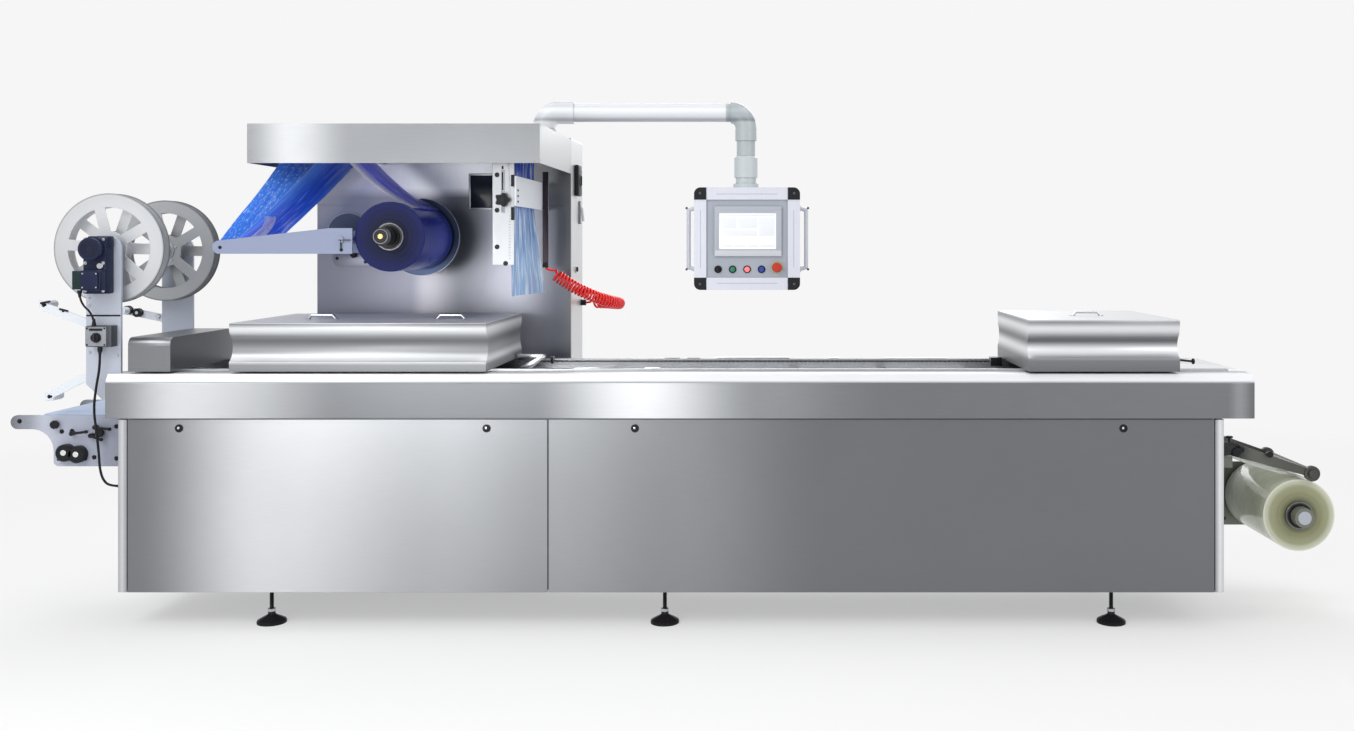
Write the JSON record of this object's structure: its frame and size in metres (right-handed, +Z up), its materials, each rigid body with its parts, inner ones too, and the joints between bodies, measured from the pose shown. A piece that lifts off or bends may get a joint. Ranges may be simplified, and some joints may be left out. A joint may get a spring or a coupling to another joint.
{
  "type": "thermoforming packaging machine",
  "caption": "Roll-fed thermoforming packaging machine: clad table, station covers, rear cabinet with hood, film rolls, trim reels and a swinging operator panel.",
  "frame": {"origin": "on the floor under the middle of the machine's bounding box", "axes": "+X along the machine towards the bottom film roll, +Y from the operator's side to the back, +Z up"},
  "size_m": [5.153, 1.194, 2.0539],
  "materials": {
    "brushed_sheet": "vertical brushed satin",
    "satin_steel": "fine satin",
    "cabinet_sheet": "satin sheet",
    "white_plate": "satin white",
    "pendant_grey": "satin light grey",
    "roller_chrome": "polished",
    "black_plastic": "matte",
    "black_iron": "semi-matte black",
    "motor_navy": "satin dark navy",
    "box_grey": "satin grey",
    "profile_aluminium": "satin anodised",
    "panel_grey": "matte grey",
    "screen_bezel": "semi-gloss",
    "button_caps": "gloss, each cap its own colour",
    "blue_film": "glossy translucent blue",
    "clear_film": "glossy clear, pale yellow when wound",
    "pale_belt": "smooth pale blue",
    "red_hose": "glossy red",
    "black_cable": "matte"
  },
  "bodies": {
    "machine": {"air_hose": "red_hose", "back_panels": "brushed_sheet", "bottom_web": "clear_film", "cabinet_fittings": "black_plastic", "cable_glands": "black_plastic", "chain_guides": "satin_steel", "cover_handles": "roller_chrome", "cutter_cover": "brushed_sheet", "dancer_arms": "satin_steel", "dancer_roller": "roller_chrome", "deck_bed": "brushed_sheet", "deck_ends": "satin_steel", "deck_ledge_back": "satin_steel", "deck_ledge_front": "satin_steel", "deck_plates": "satin_steel", "end_panels": "brushed_sheet", "forming_cover": "brushed_sheet", "front_panel_left": "brushed_sheet", "front_panel_right": "brushed_sheet", "guide_brackets": "white_plate", "guide_knobs": "black_plastic", "guide_plate": "white_plate", "hood_canopy": "brushed_sheet", "hood_idlers": "roller_chrome", "levelling_feet": "black_iron", "machine_housing": "brushed_sheet", "motor_cable": "black_cable", "outfeed_belt": "pale_belt", "outfeed_fittings": "black_plastic", "outfeed_plates": "white_plate", "panel_locks": "black_plastic", "pendant_base": "pendant_grey", "rear_cabinet": "cabinet_sheet", "reel_motor": "motor_navy", "reel_posts": "white_plate", "reel_switch_box": "box_grey", "sealing_cover": "brushed_sheet", "supply_cable": "black_cable", "top_roll_shaft": "satin_steel", "top_web": "blue_film", "top_web_tail": "blue_film", "trim_guides": "white_plate", "unwind_bracket": "satin_steel", "unwind_dancer": "panel_grey", "web_idler": "roller_chrome"},
    "swing_arm": {"pendant_arm": "pendant_grey"},
    "operator_panel": {"control_neck": "pendant_grey", "control_frame": "profile_aluminium", "control_corners": "black_plastic", "control_plate": "panel_grey", "control_screen": "screen_bezel", "control_buttons": "button_caps", "control_handles": "profile_aluminium"},
    "top_roll": {"top_film_roll": "blue_film"},
    "bottom_roll": {"bottom_film_roll": "clear_film"},
    "front_reel": {"trim_reel_front": "satin_steel"},
    "back_reel": {"trim_reel_back": "satin_steel"}
  },
  "joints": [
    {"name": "pendant_arm_swing", "type": "hinge", "parent": "machine", "child": "swing_arm", "pos_m": [-0.562, -0.116, 1.942], "axis": [0, 0, 1], "range_deg": [-90, 45]},
    {"name": "panel_swivel", "type": "hinge", "parent": "swing_arm", "child": "operator_panel", "pos_m": [0.27, -0.116, 1.827], "axis": [0, 0, 1], "range_deg": [-90, 90]},
    {"name": "top_film_roll_spin", "type": "hinge", "parent": "machine", "child": "top_roll", "pos_m": [-1.115, -0.176, 1.496], "axis": [0, 1, 0], "continuous": true},
    {"name": "bottom_film_roll_spin", "type": "hinge", "parent": "machine", "child": "bottom_roll", "pos_m": [2.438, -0.176, 0.407], "axis": [0, 1, 0], "continuous": true},
    {"name": "trim_reel_front_spin", "type": "hinge", "parent": "machine", "child": "front_reel", "pos_m": [-2.187, -0.412, 1.45], "axis": [0, 1, 0], "continuous": true},
    {"name": "trim_reel_back_spin", "type": "hinge", "parent": "machine", "child": "back_reel", "pos_m": [-2.198, 0.06, 1.439], "axis": [0, 1, 0], "continuous": true}
  ]
}
